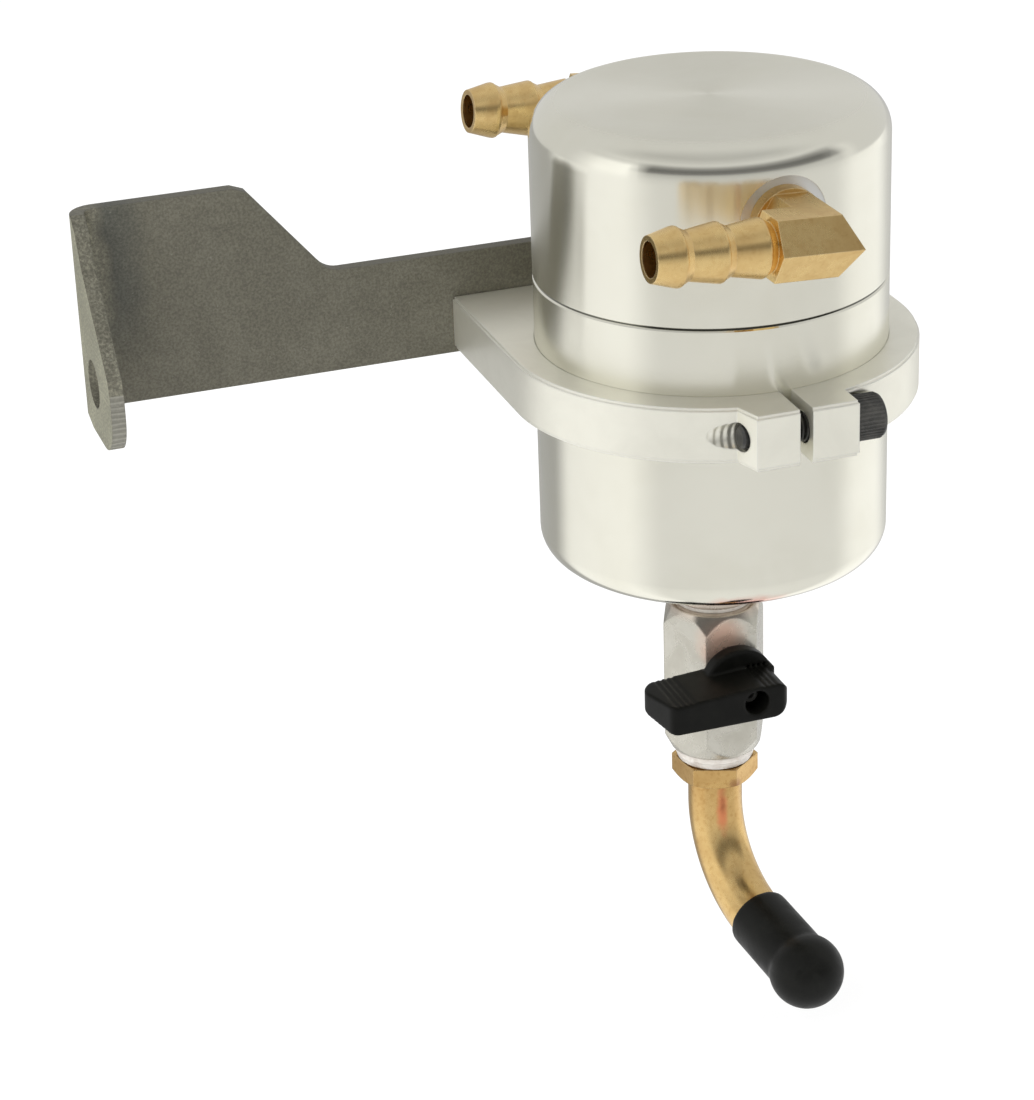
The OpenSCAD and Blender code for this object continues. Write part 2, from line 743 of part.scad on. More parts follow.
module valve_lever() {
    groove_pitch = 1.3;
    color("#1c1c1c") at_can() at_stem() difference() {
        union() {
            intersection() {
                translate([0, lever_front, 0]) rotate([90, 0, 0]) mirror([1, 0, 0])
                    linear_extrude(2 * lever_front) lever_plan();
                linear_extrude(lever_front + 1)
                    polygon([[lever_heel + 1, -lever_low], [lever_heel + 1, lever_up], [0, lever_up],
                        [-lever_l, lever_up - lever_slope], [-lever_l - 1, lever_up - lever_slope],
                        [-lever_l - 1, -lever_low]]);
                translate([-lever_l - 1, 0, 0]) rotate([90, 0, 90])
                    linear_extrude(lever_l + lever_heel + 2)
                        polygon([[lever_rise - lever_low, lever_back], [-lever_low, lever_front],
                            [lever_up + 1, lever_front], [lever_up + 1, lever_back]]);
            }
            translate([0, 0, hub_back]) cylinder(d = hub_d, h = hub_l);
        }
        cylinder(d = stem_boss_d + 0.8, h = hub_back);
        cylinder(r = stem_r + seat_gap, h = well_floor - 1.7);
        cylinder(d = 2.9, h = lever_front);
        translate([0, 0, well_floor]) cylinder(d = screw_well_d, h = 20);
        for (i = [0 : 3]) {
            translate([lever_heel - 2 - i * groove_pitch, lever_up + 0.15, 0])
                cylinder(d = 0.9, h = lever_front + 1, $fn = 16);
            translate([-lever_l + 4 + i * groove_pitch, 0, 0])
                translate([0, lever_up + 0.15 - lever_slope * (lever_l - 4 - i * groove_pitch) / lever_l, 0])
                    cylinder(d = 0.9, h = lever_front + 1, $fn = 16);
        }
    }
}

module lever_screw() {
    color("silver") at_can() at_stem() translate([0, 0, well_floor])
        cap_screw(2.5, 6, screw_well_d - 0.9, 1.8, 2);
}

// Drain tube

module drain_fitting() {
    color("#c8a050") at_can() difference() {
        union() {
            translate([0, 0, fitting_bottom_z]) rotate([0, 0, fitting_clock])
                turned_hex(fitting_hex, fitting_h, 1, 0);
            translate([0, 0, fitting_top_z - eps]) cylinder(r = pipe_r, h = tape_h + thread_in - 0.4);
        }
        translate([0, 0, fitting_bottom_z - 1]) cylinder(r = tube_r + seat_gap, h = fitting_h + 1);
        translate([0, 0, fitting_bottom_z]) cylinder(r = flow_r + 0.8, h = 30);
    }
}

module fitting_tape() {
    color("white") at_can() translate([0, 0, fitting_top_z])
        rotate_extrude() polygon([[pipe_r + seat_gap, 0], [pipe_r + 0.7, 0], [pipe_r + 0.9, 1],
            [pipe_r + 0.5, tape_h / 2], [pipe_r + 0.8, tape_h - 0.8], [pipe_r + 0.4, tape_h],
            [pipe_r + seat_gap, tape_h]]);
}

// Section of the tube's wall
module tube_section(swell) {
    difference() {
        circle(r = tube_r + swell);
        circle(r = tube_bore_r - swell);
    }
}

module drain_tube() {
    lap = 0.4;
    swell = 0.04;
    color("#d0a850") at_can() {
        rotate([0, 0, tube_turn]) translate([tube_bend_r, 0, bend_start_z]) rotate([90, 0, 0])
            rotate([0, 0, 180]) {
                rotate_extrude(angle = tube_bend) translate([tube_bend_r, 0]) tube_section(0);
                translate([tube_bend_r, 0, 0]) rotate([90, 0, 0])
                    linear_extrude(tube_drop + fitting_h - 0.5) tube_section(0);
            }
        at_tube_end() translate([0, 0, -lap]) linear_extrude(tube_cover + lap) tube_section(swell);
    }
}

module rubber_cap() {
    mouth_lap = 0.5;
    bore_r = tube_r + run_gap;
    color("#181818") at_can() at_tube_end() translate([0, 0, -mouth_lap])
        rotate_extrude() difference() {
            union() {
                polygon([[0, 0], [plug_mouth_r - 0.4, 0], [plug_mouth_r, 0.4],
                    [plug_end_r - 1.1, plug_end_z - 4], [plug_end_r - 0.9, plug_end_z - 3.2],
                    [0, plug_end_z - 3.2]]);
                intersection() {
                    translate([0, plug_end_z]) circle(r = plug_end_r);
                    translate([0, plug_end_z - 4.2]) square([plug_end_r, plug_l]);
                }
            }
            translate([-eps, -1]) square([bore_r + eps, plug_bore_l + mouth_lap + 1]);
        }
}

can_cap();
can_body();
cap_o_ring();
lower_screen();
upper_screen();
wool_pack();
screen_clip();
clamp();
clamp_screw();
bracket();
bracket_screws();
bracket_washers();
front_elbow();
rear_elbow();
drain_nipple();
nipple_tape();
valve_body();
valve_end();
valve_ball();
valve_seats();
valve_stem();
stem_seals();
valve_lever();
lever_screw();
drain_fitting();
fitting_tape();
drain_tube();
rubber_cap();
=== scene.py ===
import bpy
import bmesh
import json
import math
import random
from mathutils import Matrix, Vector


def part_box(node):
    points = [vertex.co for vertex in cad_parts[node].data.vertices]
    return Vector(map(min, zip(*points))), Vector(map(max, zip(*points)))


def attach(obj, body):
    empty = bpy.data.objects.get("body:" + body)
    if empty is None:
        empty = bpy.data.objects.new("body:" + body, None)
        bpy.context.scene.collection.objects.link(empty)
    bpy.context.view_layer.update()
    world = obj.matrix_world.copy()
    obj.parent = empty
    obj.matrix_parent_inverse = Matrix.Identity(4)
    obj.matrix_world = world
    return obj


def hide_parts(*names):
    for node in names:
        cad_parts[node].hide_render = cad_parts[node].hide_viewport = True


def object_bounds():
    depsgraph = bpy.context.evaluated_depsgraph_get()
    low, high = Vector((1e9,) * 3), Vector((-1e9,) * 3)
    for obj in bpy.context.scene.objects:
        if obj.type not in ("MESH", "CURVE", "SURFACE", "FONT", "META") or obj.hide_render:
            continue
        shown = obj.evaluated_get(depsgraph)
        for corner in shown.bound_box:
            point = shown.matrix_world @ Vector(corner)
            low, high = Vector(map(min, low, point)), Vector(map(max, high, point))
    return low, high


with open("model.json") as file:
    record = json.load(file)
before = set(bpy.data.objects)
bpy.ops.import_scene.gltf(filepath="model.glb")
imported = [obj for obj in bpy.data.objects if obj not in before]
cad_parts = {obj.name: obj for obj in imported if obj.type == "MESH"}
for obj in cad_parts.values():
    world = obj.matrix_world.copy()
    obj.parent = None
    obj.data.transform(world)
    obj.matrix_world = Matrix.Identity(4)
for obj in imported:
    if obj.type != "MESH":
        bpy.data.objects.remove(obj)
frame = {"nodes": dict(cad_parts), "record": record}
cad_low, cad_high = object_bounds()
nodes = frame["nodes"]

# Places and sizes that the pieces share, in metres
can_x, can_y = 0.1345, -0.03144
can_centre = (can_x, can_y, 0)
can_r = 0.0397
milled_r = 0.03964
seam_z, seam_half, seam_depth = 0.0177, 0.00016, 0.0006
clamp_screw_y, clamp_screw_z = -0.07734, -0.00365
clamp_hole_r, clamp_hole_pitch = 0.00332, 0.0017
tab_edge_y, tab_skin_x, tab_mark_top_z = -0.0125, 0.0036, 0.003
shear_pitch = 0.0013
barb_way = (-0.9977, -0.0261, 0.0625)
brazed_low_z, brazed_height = -0.13, 0.035
neck_low_z, neck_height = -0.066, 0.02
lever_arm_x, lever_arm_y = 0.137, -0.0488
heel_x, lever_foot_z, lever_crown_z = 0.14245, -0.08345, -0.07515
heel_foot_r, heel_crown_r = 0.0046, 0.003
cap_pull_room = 0.006

# Places of the stains and tints
red_smear = (0.1272, -0.0692, -0.0478)
red_streak = (0.1337, -0.0378, -0.1172)
pink_facet = (0.1321, -0.0425, -0.0700)
fitting_stain = (0.1359, -0.0406, -0.1088)

# The mix node's sockets for colours, which share their names with its other sockets
mix_first, mix_second, mix_result = 6, 7, 2


# Helpers

class Tree:
    """A node tree with short calls for adding and linking nodes."""

    def __init__(self, tree):
        self.tree = tree

    def add(self, kind, inputs=None, **props):
        node = self.tree.nodes.new(kind)
        for name, value in props.items():
            setattr(node, name, value)
        for name, value in (inputs or {}).items():
            self.feed(node.inputs[name], value)
        return node

    def feed(self, socket, value):
        """Links or sets a socket; a colour may be given by its three levels alone."""
        if isinstance(value, bpy.types.NodeSocket):
            self.tree.links.new(value, socket)
        elif socket.type == "RGBA" and len(value) == 3:
            socket.default_value = (*value, 1)
        else:
            socket.default_value = value

    def math(self, operation, a, b=0.0):
        node = self.add("ShaderNodeMath", operation=operation)
        self.feed(node.inputs[0], a)
        self.feed(node.inputs[1], b)
        return node.outputs[0]

    def plus(self, a, b):
        return self.math("ADD", a, b)

    def minus(self, a, b):
        return self.math("SUBTRACT", a, b)

    def times(self, a, b):
        return self.math("MULTIPLY", a, b)

    def over(self, a, b):
        return self.math("DIVIDE", a, b)

    def under(self, value, limit):
        return self.math("LESS_THAN", value, limit)

    def shares(self, first, share, second):
        """A share of the first value and the rest of the second."""
        return self.plus(self.times(first, share), self.times(second, 1.0 - share))

    def fade(self, value, start, end, first=0.0, last=1.0, smooth=False):
        """Goes from the first level to the last while the value goes from start to end."""
        kind = "SMOOTHSTEP" if smooth else "LINEAR"
        return self.add("ShaderNodeMapRange", {
            "Value": value, "From Min": start, "From Max": end, "To Min": first, "To Max": last},
            interpolation_type=kind).outputs[0]

    def levels(self, value, low, high):
        return self.fade(value, 0.0, 1.0, low, high)

    def vector(self, operation, a, b=(0, 0, 0)):
        node = self.add("ShaderNodeVectorMath", operation=operation)
        self.feed(node.inputs[0], a)
        self.feed(node.inputs[1], b)
        return node.outputs["Value" if operation in ("DOT_PRODUCT", "LENGTH") else "Vector"]

    def parts(self, vector):
        return self.add("ShaderNodeSeparateXYZ", {0: vector}).outputs

    def even_vector(self, value):
        return self.add("ShaderNodeCombineXYZ", {"X": value, "Y": value, "Z": value}).outputs[0]

    def upward(self, height):
        return self.add("ShaderNodeCombineXYZ", {"Z": height}).outputs[0]

    def mix(self, factor, a, b, blend="MIX"):
        node = self.add("ShaderNodeMix", data_type="RGBA", blend_type=blend)
        self.feed(node.inputs[0], factor)
        self.feed(node.inputs[mix_first], a)
        self.feed(node.inputs[mix_second], b)
        return node.outputs[mix_result]

    def ramp(self, factor, stops):
        node = self.add("ShaderNodeValToRGB", {0: factor})
        marks = node.color_ramp.elements
        while len(marks) < len(stops):
            marks.new(0.5)
        for mark, (place, level) in zip(marks, stops):
            mark.position = place
            mark.color = (level, level, level, 1)
        return node.outputs["Color"]

    def object_point(self):
        return self.add("ShaderNodeTexCoord").outputs["Object"]

    def normal(self):
        return self.add("ShaderNodeNewGeometry").outputs["Normal"]


def shader_group(name, inputs, outputs):
    """Starts a shader group with named sockets and returns its tree, input node and output node."""
    group = bpy.data.node_groups.new(name, "ShaderNodeTree")
    kinds = {"value": "NodeSocketFloat", "vector": "NodeSocketVector", "colour": "NodeSocketColor"}
    for label, kind, default in inputs:
        socket = group.interface.new_socket(name=label, in_out="INPUT", socket_type=kinds[kind])
        socket.default_value = default
    for label, kind in outputs:
        group.interface.new_socket(name=label, in_out="OUTPUT", socket_type=kinds[kind])
    tree = Tree(group)
    return tree, tree.add("NodeGroupInput").outputs, tree.add("NodeGroupOutput").inputs


# Effects that several materials use

def make_grain_group():
    tree, given, out = shader_group("fine grain", [
        ("Size", "value", 0.0005), ("Stretch", "vector", (1, 1, 1)), ("Detail", "value", 3.0)],
        [("Height", "value")])
    point = tree.vector("MULTIPLY", tree.object_point(), given["Stretch"])
    noise = tree.add("ShaderNodeTexNoise", {
        "Vector": point, "Scale": tree.over(1.0, given["Size"]), "Detail": given["Detail"]})
    tree.feed(out["Height"], noise.outputs["Fac"])
    return tree.tree


def make_mottle_group():
    tree, given, out = shader_group("mottled colour", [
        ("Main", "colour", (0.5, 0.5, 0.5, 1)), ("Patch", "colour", (0.4, 0.4, 0.4, 1)),
        ("Size", "value", 0.01), ("Low", "value", 0.4), ("High", "value", 0.65)],
        [("Color", "colour"), ("Mask", "value")])
    noise = tree.add("ShaderNodeTexNoise", {
        "Vector": tree.object_point(), "Scale": tree.over(1.0, given["Size"]),
        "Detail": 6.0, "Roughness": 0.62, "Distortion": 0.4})
    mask = tree.fade(noise.outputs["Fac"], given["Low"], given["High"], smooth=True)
    tree.feed(out["Color"], tree.mix(mask, given["Main"], given["Patch"]))
    tree.feed(out["Mask"], mask)
    return tree.tree


def make_turned_group():
    """Fine rings left by a lathe: along its axis on a side, and outwards on an end face."""
    tree, given, out = shader_group("turned lines", [
        ("Axis", "vector", (0, 0, 1)), ("Centre", "vector", (0, 0, 0)), ("Outward", "value", 1.0),
        ("Pitch", "value", 0.0003), ("Sideways", "value", 20.0)],
        [("Height", "value")])
    point = tree.vector("SUBTRACT", tree.object_point(), given["Centre"])
    along = tree.vector("DOT_PRODUCT", point, given["Axis"])
    side = tree.vector("SUBTRACT", point, tree.vector("MULTIPLY", given["Axis"], tree.even_vector(along)))
    out_way = tree.times(tree.vector("LENGTH", side), given["Outward"])
    noise = tree.add("ShaderNodeTexNoise", {
        "Vector": tree.vector("MULTIPLY", side, tree.even_vector(given["Sideways"])),
        "W": tree.over(tree.plus(along, out_way), given["Pitch"]), "Scale": 1.0, "Detail": 2.0},
        noise_dimensions="4D")
    tree.feed(out["Height"], noise.outputs["Fac"])
    return tree.tree


def make_scratch_group():
    """Thin, sparse scratches along one direction."""
    tree, given, out = shader_group("hairline scratches", [
        ("Size", "value", 0.001), ("Stretch", "vector", (0.05, 1, 1)), ("Amount", "value", 0.5)],
        [("Mask", "value")])
    point = tree.vector("MULTIPLY", tree.object_point(), given["Stretch"])
    noise = tree.add("ShaderNodeTexNoise", {
        "Vector": point, "Scale": tree.over(1.0, given["Size"]), "Detail": 2.0, "Distortion": 0.6})
    line = tree.math("ABSOLUTE", tree.minus(noise.outputs["Fac"], 0.5))
    width = tree.times(given["Amount"], 0.03)
    tree.feed(out["Mask"], tree.fade(line, 0.0, width, 1.0, 0.0))
    return tree.tree


def make_spot_group():
    """A soft, uneven spot round one place, for stains and tints."""
    tree, given, out = shader_group("soft spot", [
        ("Centre", "vector", (0, 0, 0)), ("Stretch", "vector", (1, 1, 1)), ("Reach", "value", 0.004),
        ("Unevenness", "value", 0.5)], [("Mask", "value")])
    point = tree.object_point()
    arm = tree.vector("MULTIPLY", tree.vector("SUBTRACT", point, given["Centre"]), given["Stretch"])
    away = tree.over(tree.vector("LENGTH", arm), given["Reach"])
    noise = tree.add("ShaderNodeTexNoise", {
        "Vector": point, "Scale": tree.over(2.0, given["Reach"]), "Detail": 3.0}).outputs["Fac"]
    wander = tree.times(tree.minus(noise, 0.5), given["Unevenness"])
    tree.feed(out["Mask"], tree.fade(tree.plus(away, wander), 1.0, 0.2, smooth=True))
    return tree.tree


grain_group = make_grain_group()
mottle_group = make_mottle_group()
turned_group = make_turned_group()
scratch_group = make_scratch_group()
spot_group = make_spot_group()


class Finish(Tree):
    """A material with one Principled shader and calls for the shared effects."""

    def __init__(self, name, metallic=0.0, roughness=0.5, **plain):
        material = bpy.data.materials.new(name)
        material.use_nodes = True
        super().__init__(material.node_tree)
        self.material = material
        self.shader = material.node_tree.nodes["Principled BSDF"]
        self.set("Metallic", metallic)
        self.set("Roughness", roughness)
        for label, value in plain.items():
            self.set(label.replace("_", " ").title().replace("Ior", "IOR"), value)

    def set(self, label, value):
        self.feed(self.shader.inputs[label], value)

    def effect(self, group, **inputs):
        node = self.add("ShaderNodeGroup", node_tree=group)
        for label, value in inputs.items():
            self.feed(node.inputs[label], value)
        return node.outputs

    def grain(self, size, stretch=(1, 1, 1), detail=3.0):
        return self.effect(grain_group, Size=size, Stretch=stretch, Detail=detail)["Height"]

    def mottle(self, main, patch, size, low, high):
        """Two colours in soft patches, and the mask that lies between them."""
        return self.effect(mottle_group, Main=main, Patch=patch, Size=size, Low=low, High=high)

    def spot(self, centre, reach, unevenness, stretch=(1, 1, 1)):
        return self.effect(
            spot_group, Centre=centre, Reach=reach, Unevenness=unevenness, Stretch=stretch)["Mask"]

    def tinted(self, factor, colour, tint):
        """The colour, multiplied by the tint as far as the factor says."""
        return self.mix(factor, colour, self.mix(1.0, colour, tint, "MULTIPLY"))

    def bump(self, height, depth, strength=1.0, below=None):
        node = self.add("ShaderNodeBump", {"Height": height, "Distance": depth, "Strength": strength})
        if below is not None:
            self.feed(node.inputs["Normal"], below)
        return node.outputs[0]

    def soft_edges(self, radius):
        return self.add("ShaderNodeBevel", {"Radius": radius}, samples=4).outputs[0]

    def edge_wear_and_sheen(self, radius):
        """1 where an edge is near and 0 on open faces."""
        turn = self.vector("DOT_PRODUCT", self.normal(), self.soft_edges(radius))
        return self.fade(turn, 0.99, 0.8)


# Materials

def turned_tangent(f, arm):
    """Direction square to the lathe's marks on the can: up the sides and outwards on the ends."""
    round_way = f.vector("CROSS_PRODUCT", (0, 0, 1), arm)
    return f.vector("NORMALIZE", f.vector("CROSS_PRODUCT", round_way, f.normal()))


def make_can_finish():
    f = Finish("polished_aluminium", metallic=1.0, anisotropic=0.9)
    arm = f.vector("MULTIPLY", f.vector("SUBTRACT", f.object_point(), can_centre), (1, 1, 0))
    reach = f.vector("LENGTH", arm)
    up = f.math("ABSOLUTE", f.parts(f.normal())["Z"])
    flat = f.fade(up, 0.8, 0.985)
    # Faces milled into the round side, such as the seats of the elbows, are frosted
    milled = f.times(f.under(reach, milled_r), f.under(up, 0.03))
    smear = f.mottle((0.885, 0.87, 0.765), (0.85, 0.832, 0.72), size=0.03, low=0.35, high=0.75)
    colour = f.mix(milled, smear["Color"], (0.8, 0.8, 0.775))
    red = f.spot(red_smear, reach=0.0075, unevenness=0.6, stretch=(0.6, 0.6, 2.2))
    colour = f.mix(f.times(red, 0.75), colour, (0.85, 0.36, 0.28))
    # Dark line where the cap meets the can
    height = f.parts(f.object_point())["Z"]
    seam = f.under(f.math("ABSOLUTE", f.minus(height, seam_z)), seam_half)
    seam = f.times(seam, f.math("GREATER_THAN", reach, can_r - seam_depth))
    f.set("Base Color", f.mix(f.times(seam, 0.8), colour, (0.1, 0.1, 0.095)))
    f.set("Metallic", f.minus(1.0, f.times(milled, 0.15)))
    streak = f.effect(turned_group, Centre=can_centre, Outward=flat, Pitch=0.0009, Sideways=3.0)["Height"]
    side = f.levels(f.shares(streak, 0.6, smear["Mask"]), 0.23, 0.29)
    # The rounded edges are smoother than the side, and the flat ends rougher
    rounded = f.fade(up, 0.05, 0.3)
    rough = f.times(side, f.minus(1.0, f.times(rounded, 0.6)))
    rough = f.plus(rough, f.times(flat, 0.2))
    f.set("Roughness", f.math("MAXIMUM", rough, f.times(milled, 0.42)))
    f.set("Tangent", turned_tangent(f, arm))
    lines = f.effect(turned_group, Centre=can_centre, Outward=flat, Pitch=0.00016, Sideways=3.0)["Height"]
    f.set("Normal", f.bump(lines, 0.000002))
    return f.material


def make_clamp_finish():
    f = Finish("satin_aluminium", metallic=0.8, roughness=0.3)
    tone = f.mottle((0.88, 0.866, 0.765), (0.82, 0.805, 0.71), size=0.012, low=0.3, high=0.8)
    # Painted highlight: the clamp's edges are painted lighter, as bright lines along the chamfers
    f.set("Base Color", f.mix(f.edge_wear_and_sheen(0.0005), tone["Color"], (0.95, 0.94, 0.88)))
    brushed = f.grain(0.0004, (0.06, 1, 1))
    f.set("Roughness", f.levels(f.shares(brushed, 0.6, tone["Mask"]), 0.32, 0.46))
    # Tapped thread, seen where the screw hole opens through the rim
    place = f.parts(f.object_point())
    off_y, off_z = f.minus(place["Y"], clamp_screw_y), f.minus(place["Z"], clamp_screw_z)
    reach = f.math("SQRT", f.plus(f.times(off_y, off_y), f.times(off_z, off_z)))
    inside = f.under(reach, clamp_hole_r)
    turn = f.math("ARCTAN2", off_y, off_z)
    wave = f.math("SINE", f.plus(f.times(place["X"], 2 * math.pi / clamp_hole_pitch), turn))
    brush = f.bump(brushed, 0.000012, 0.6, f.soft_edges(0.0005))
    f.set("Normal", f.bump(f.times(inside, wave), 0.00008, 1.0, brush))
    return f.material


def make_bracket_finish():
    f = Finish("mill_steel", metallic=0.5, roughness=0.5)
    scale = f.mottle((0.146, 0.139, 0.107), (0.176, 0.168, 0.131), size=0.01, low=0.38, high=0.66)
    fine = f.mottle((0.82, 0.82, 0.82), (1.27, 1.27, 1.26), size=0.0006, low=0.36, high=0.66)
    colour = f.mix(1.0, scale["Color"], fine["Color"], "MULTIPLY")
    place, facing = f.parts(f.object_point()), f.parts(f.normal())
    # Paler stretched skin on the fold, then a bluish dark zone beside it, which is painted shade where the
    # tab shades the plate
    wander = f.minus(f.grain(0.008, detail=4.0), 0.5)
    near = f.plus(place["X"], f.times(wander, 0.007))
    # Painted shade: a bluish dark zone on the plate beside the fold
    painted_bend_shade = f.ramp(f.times(near, 30.0), [(0.0, 0.0), (0.2, 0.1), (0.27, 1.0), (0.38, 0.7), (0.52, 0.0)])
    painted_bend_shade = f.times(painted_bend_shade, f.fade(place["Z"], -0.004, 0.014))
    colour = f.tinted(painted_bend_shade, colour, (0.68, 0.72, 0.78))
    skin = f.ramp(f.times(near, 100.0), [(0.0, 0.6), (0.3, 0.85), (0.6, 0.7), (0.8, 0.0)])
    flecks = f.mottle((1.12, 1.13, 1.13), (1.85, 1.87, 1.85), size=0.0007, low=0.45, high=0.6)
    colour = f.tinted(skin, colour, flecks["Color"])
    # The tab's cut edge keeps the marks of the shears
    edge = f.times(f.under(place["Y"], tab_edge_y), f.under(place["X"], tab_skin_x))
    edge = f.times(edge, f.under(f.plus(facing["Y"], place["Z"]), -0.6))
    edge = f.times(edge, f.under(place["Z"], tab_mark_top_z))
    ragged = f.plus(place["Z"], f.times(wander, 0.0012))
    teeth = f.times(edge, f.math("SINE", f.times(ragged, 2 * math.pi / shear_pitch)))
    marks = f.mix(f.levels(teeth, 0.2, 0.8), (0.22, 0.215, 0.185), (0.44, 0.43, 0.375))
    colour = f.mix(f.times(edge, 0.7), colour, marks)
    # The tab's outer face, which looks towards the light from the left, is painted lighter: painted light
    colour = f.tinted(f.fade(facing["X"], -0.7, -0.95), colour, (1.65, 1.68, 1.6))
    nick = f.effect(scratch_group, Size=0.005, Stretch=(1.0, 1.0, 0.35), Amount=0.06)["Mask"]
    colour = f.mix(f.times(nick, 0.22), colour, (0.3, 0.3, 0.26))
    dust = f.mottle((0, 0, 0), (1, 1, 1), size=0.0011, low=0.66, high=0.72)["Mask"]
    colour = f.mix(f.times(dust, 0.5), colour, (0.34, 0.33, 0.28))
    colour = f.mix(f.times(f.edge_wear_and_sheen(0.0004), 0.45), colour, (0.26, 0.255, 0.215))
    # Faces that look up are painted darker: painted shade
    top = f.times(f.fade(facing["Z"], 0.3, 0.9), 0.8)
    f.set("Base Color", f.tinted(top, colour, (0.55, 0.55, 0.55)))
    f.set("Roughness", f.levels(f.shares(scale["Mask"], 0.5, fine["Mask"]), 0.42, 0.6))
    grit = f.times(f.grain(0.0005, detail=5.0), f.levels(skin, 1.0, 2.2))
    f.set("Normal", f.bump(f.plus(grit, f.times(teeth, 1.6)), 0.00006, 0.7, f.soft_edges(0.0004)))
    return f.material


def make_brass_finish():
    f = Finish("brass", metallic=1.0, roughness=0.3)
    tone = f.mottle((0.88, 0.64, 0.285), (0.74, 0.5, 0.205), size=0.006, low=0.3, high=0.8)
    colour = f.mix(f.times(f.edge_wear_and_sheen(0.0004), 0.6), tone["Color"], (0.95, 0.78, 0.48))
    # Darker, redder metal where the tube was brazed into the fitting
    height = f.minus(f.parts(f.object_point())["Z"], brazed_low_z)
    brazed = f.ramp(f.over(height, brazed_height), [
        (0.0, 0.4), (0.2, 0.45), (0.42, 0.8), (0.62, 1.0), (0.85, 0.7), (0.95, 0.0)])
    colour = f.tinted(brazed, colour, (0.79, 0.715, 0.63))
    speck = f.mottle((1, 1, 1), (0.8, 0.72, 0.62), size=0.0011, low=0.46, high=0.72)
    colour = f.tinted(f.levels(brazed, 0.45, 1.0), colour, speck["Color"])
    stain = f.spot(fitting_stain, reach=0.0023, unevenness=0.6)
    colour = f.mix(f.times(stain, 0.7), colour, (0.28, 0.11, 0.06))
    streak = f.spot(red_streak, reach=0.0045, unevenness=0.6, stretch=(2.4, 1.0, 0.5))
    f.set("Base Color", f.mix(f.times(streak, 0.8), colour, (0.85, 0.27, 0.13)))
    rings = f.effect(turned_group, Axis=barb_way, Outward=0.0, Pitch=0.00035, Sideways=12.0)["Height"]
    f.set("Roughness", f.levels(f.shares(rings, 0.5, tone["Mask"]), 0.22, 0.38))
    f.set("Normal", f.bump(rings, 0.000006, 0.5, f.soft_edges(0.0003)))
    return f.material


def make_nickel_finish():
    f = Finish("nickel_plate", metallic=0.6, roughness=0.3)
    tone = f.mottle((0.61, 0.59, 0.52), (0.52, 0.5, 0.43), size=0.006, low=0.3, high=0.75)
    # Pink on one facet and on the neck
    pink = f.spot(pink_facet, reach=0.0075, unevenness=0.4, stretch=(1.0, 1.0, 0.9))
    height = f.minus(f.parts(f.object_point())["Z"], neck_low_z)
    neck = f.ramp(f.over(height, neck_height), [(0.0, 0.0), (0.12, 0.8), (1.0, 0.8)])
    tint = f.times(f.math("MAXIMUM", pink, f.times(neck, 0.35)), 0.9)
    f.set("Base Color", f.mix(tint, tone["Color"], (0.76, 0.5, 0.38)))
    # Faces that look up are smoother and more metallic
    crown = f.fade(f.parts(f.normal())["Z"], 0.15, 0.35, 1.0, 0.35)
    f.set("Roughness", f.times(f.levels(tone["Mask"], 0.22, 0.34), crown))
    f.set("Metallic", f.levels(crown, 1.1, 0.6))
    cast = f.plus(f.grain(0.0045, detail=2.0), f.times(f.grain(0.0005, detail=2.0), 0.04))
    f.set("Normal", f.bump(cast, 0.00004, 0.6, f.soft_edges(0.0007)))
    return f.material


def make_black_steel():
    f = Finish("black_steel", metallic=0.6, roughness=0.38, specular_ior_level=0.4)
    tone = f.mottle((0.05, 0.05, 0.048), (0.1, 0.098, 0.09), size=0.003, low=0.35, high=0.7)
    f.set("Base Color", f.mix(f.times(f.edge_wear_and_sheen(0.0002), 0.25), tone["Color"], (0.25, 0.24, 0.22)))
    f.set("Roughness", f.levels(tone["Mask"], 0.32, 0.5))
    f.set("Normal", f.bump(f.grain(0.0004), 0.00002))
    return f.material


def make_spring_steel():
    f = Finish("spring_steel", metallic=0.8, roughness=0.4)
    tone = f.mottle((0.14, 0.14, 0.14), (0.2, 0.19, 0.18), size=0.004, low=0.35, high=0.7)
    f.set("Base Color", tone["Color"])
    f.set("Roughness", f.levels(tone["Mask"], 0.34, 0.5))
    f.set("Normal", f.bump(f.grain(0.0003), 0.00002))
    return f.material


def make_stainless():
    f = Finish("stainless", metallic=1.0, roughness=0.28)
    tone = f.mottle((0.68, 0.665, 0.61), (0.58, 0.565, 0.52), size=0.005, low=0.3, high=0.8)
    f.set("Base Color", tone["Color"])
    brushed = f.grain(0.0003, (0.1, 1, 1))
    f.set("Roughness", f.levels(brushed, 0.2, 0.4))
    f.set("Normal", f.bump(brushed, 0.00001, 1.0, f.soft_edges(0.0002)))
    return f.material


def make_steel_wool():
    f = Finish("steel_wool", metallic=0.9, roughness=0.45)
    tone = f.mottle((0.46, 0.45, 0.42), (0.2, 0.2, 0.19), size=0.001, low=0.35, high=0.65)
    f.set("Base Color", tone["Color"])
    f.set("Roughness", f.levels(tone["Mask"], 0.3, 0.5))
    f.set("Normal", f.bump(f.grain(0.0012, (0.4, 1, 3)), 0.0002))
    return f.material


def make_chrome():
    f = Finish("chrome", metallic=1.0, roughness=0.1)
    tone = f.mottle((0.85, 0.84, 0.8), (0.78, 0.77, 0.73), size=0.004, low=0.3, high=0.8)
    f.set("Base Color", tone["Color"])
    f.set("Roughness", f.levels(tone["Mask"], 0.07, 0.14))
    return f.material


def make_tape_finish():
    f = Finish("thread_tape", roughness=0.42)
    tone = f.mottle((0.80, 0.76, 0.70), (0.66, 0.60, 0.54), size=0.002, low=0.35, high=0.75)
    f.set("Base Color", tone["Color"])
    f.set("Subsurface Weight", 0.15)
    f.set("Subsurface Radius", (0.002, 0.002, 0.002))
    folds = f.effect(turned_group, Centre=can_centre, Pitch=0.0006, Sideways=60.0)["Height"]
    f.set("Normal", f.bump(folds, 0.00015))
    return f.material


